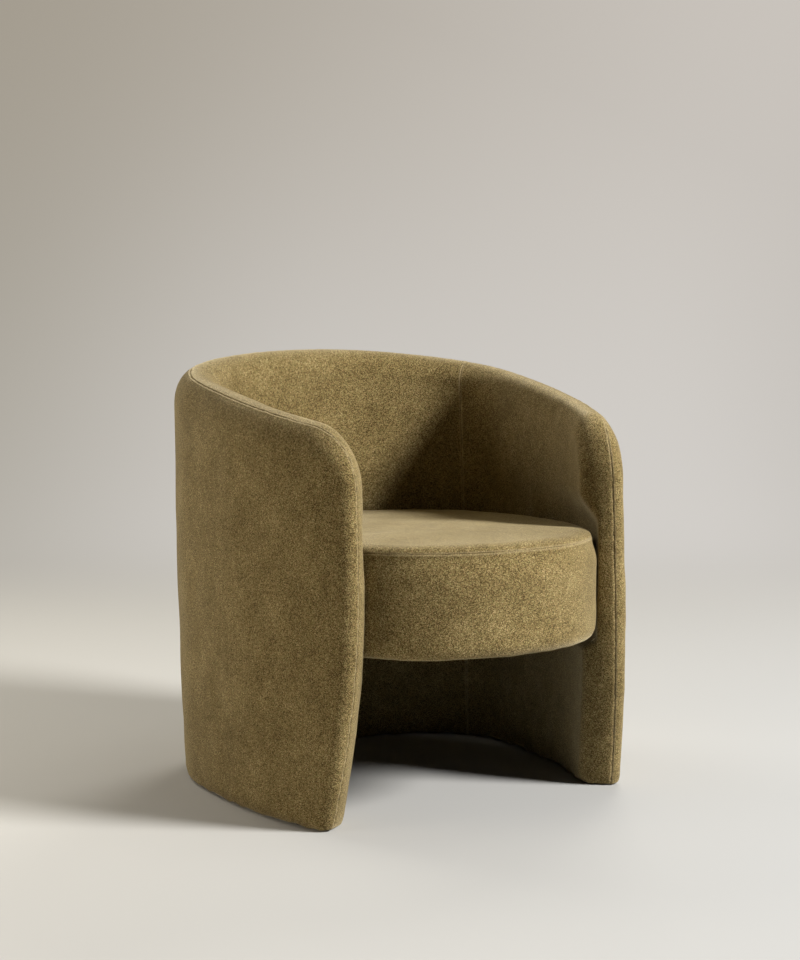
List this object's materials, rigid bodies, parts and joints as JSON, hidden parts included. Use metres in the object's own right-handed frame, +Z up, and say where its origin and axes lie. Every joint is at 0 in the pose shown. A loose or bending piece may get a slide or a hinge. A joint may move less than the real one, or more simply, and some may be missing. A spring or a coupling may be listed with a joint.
{
  "type": "upholstered barrel armchair",
  "caption": "Low barrel armchair: a padded wall stands on the floor and wraps round a crowned drum seat, open at the front, all in a textured olive fabric.",
  "frame": {"origin": "on the floor under the middle of the chair's overall box", "axes": "+Z up; the sitter faces -Y, so +Y points to the back; +X is towards the sitter's left hand"},
  "size_m": [0.6998, 0.7442, 0.73],
  "materials": {
    "upholstery": "matt textured weave",
    "foam": "open-cell foam",
    "wadding": "soft fibre",
    "dust_cloth": "thin non-woven cloth",
    "webbing": "woven elastic",
    "plywood": "raw bent plywood",
    "hardwood": "raw planed wood",
    "glide_plastic": "moulded",
    "zinc_steel": "zinc plated"
  },
  "bodies": {
    "root": {"outer_cover": "upholstery", "inner_back_cover": "upholstery", "inner_arm_cover_left": "upholstery", "inner_arm_cover_right": "upholstery", "outer_foam": "foam", "inner_back_foam": "foam", "inner_arm_foam_left": "foam", "inner_arm_foam_right": "foam", "rim_roll_foam": "foam", "arm_front_foam_left": "foam", "arm_front_foam_right": "foam", "outer_skin": "plywood", "inner_skin": "plywood", "base_ring": "plywood", "seat_level_ring": "plywood", "top_rail": "hardwood", "lower_posts": "hardwood", "upper_posts": "hardwood", "arm_front_posts": "hardwood", "base_dust_cover": "dust_cloth", "base_staples": "zinc_steel", "glides": "glide_plastic", "glide_screws": "zinc_steel", "post_screws": "zinc_steel", "seat_top_cover": "upholstery", "seat_side_band": "upholstery", "seat_foam_topper": "foam", "seat_foam_core": "foam", "seat_side_wrap": "wadding", "seat_hoop": "plywood", "seat_cross_rails": "hardwood", "webbing_lengthwise": "webbing", "webbing_crosswise": "webbing", "seat_dust_cover": "dust_cloth", "seat_staples": "zinc_steel", "seat_spacers": "hardwood", "seat_bolts": "zinc_steel", "bolt_washers": "zinc_steel", "threaded_inserts": "zinc_steel"}
  },
  "joints": []
}
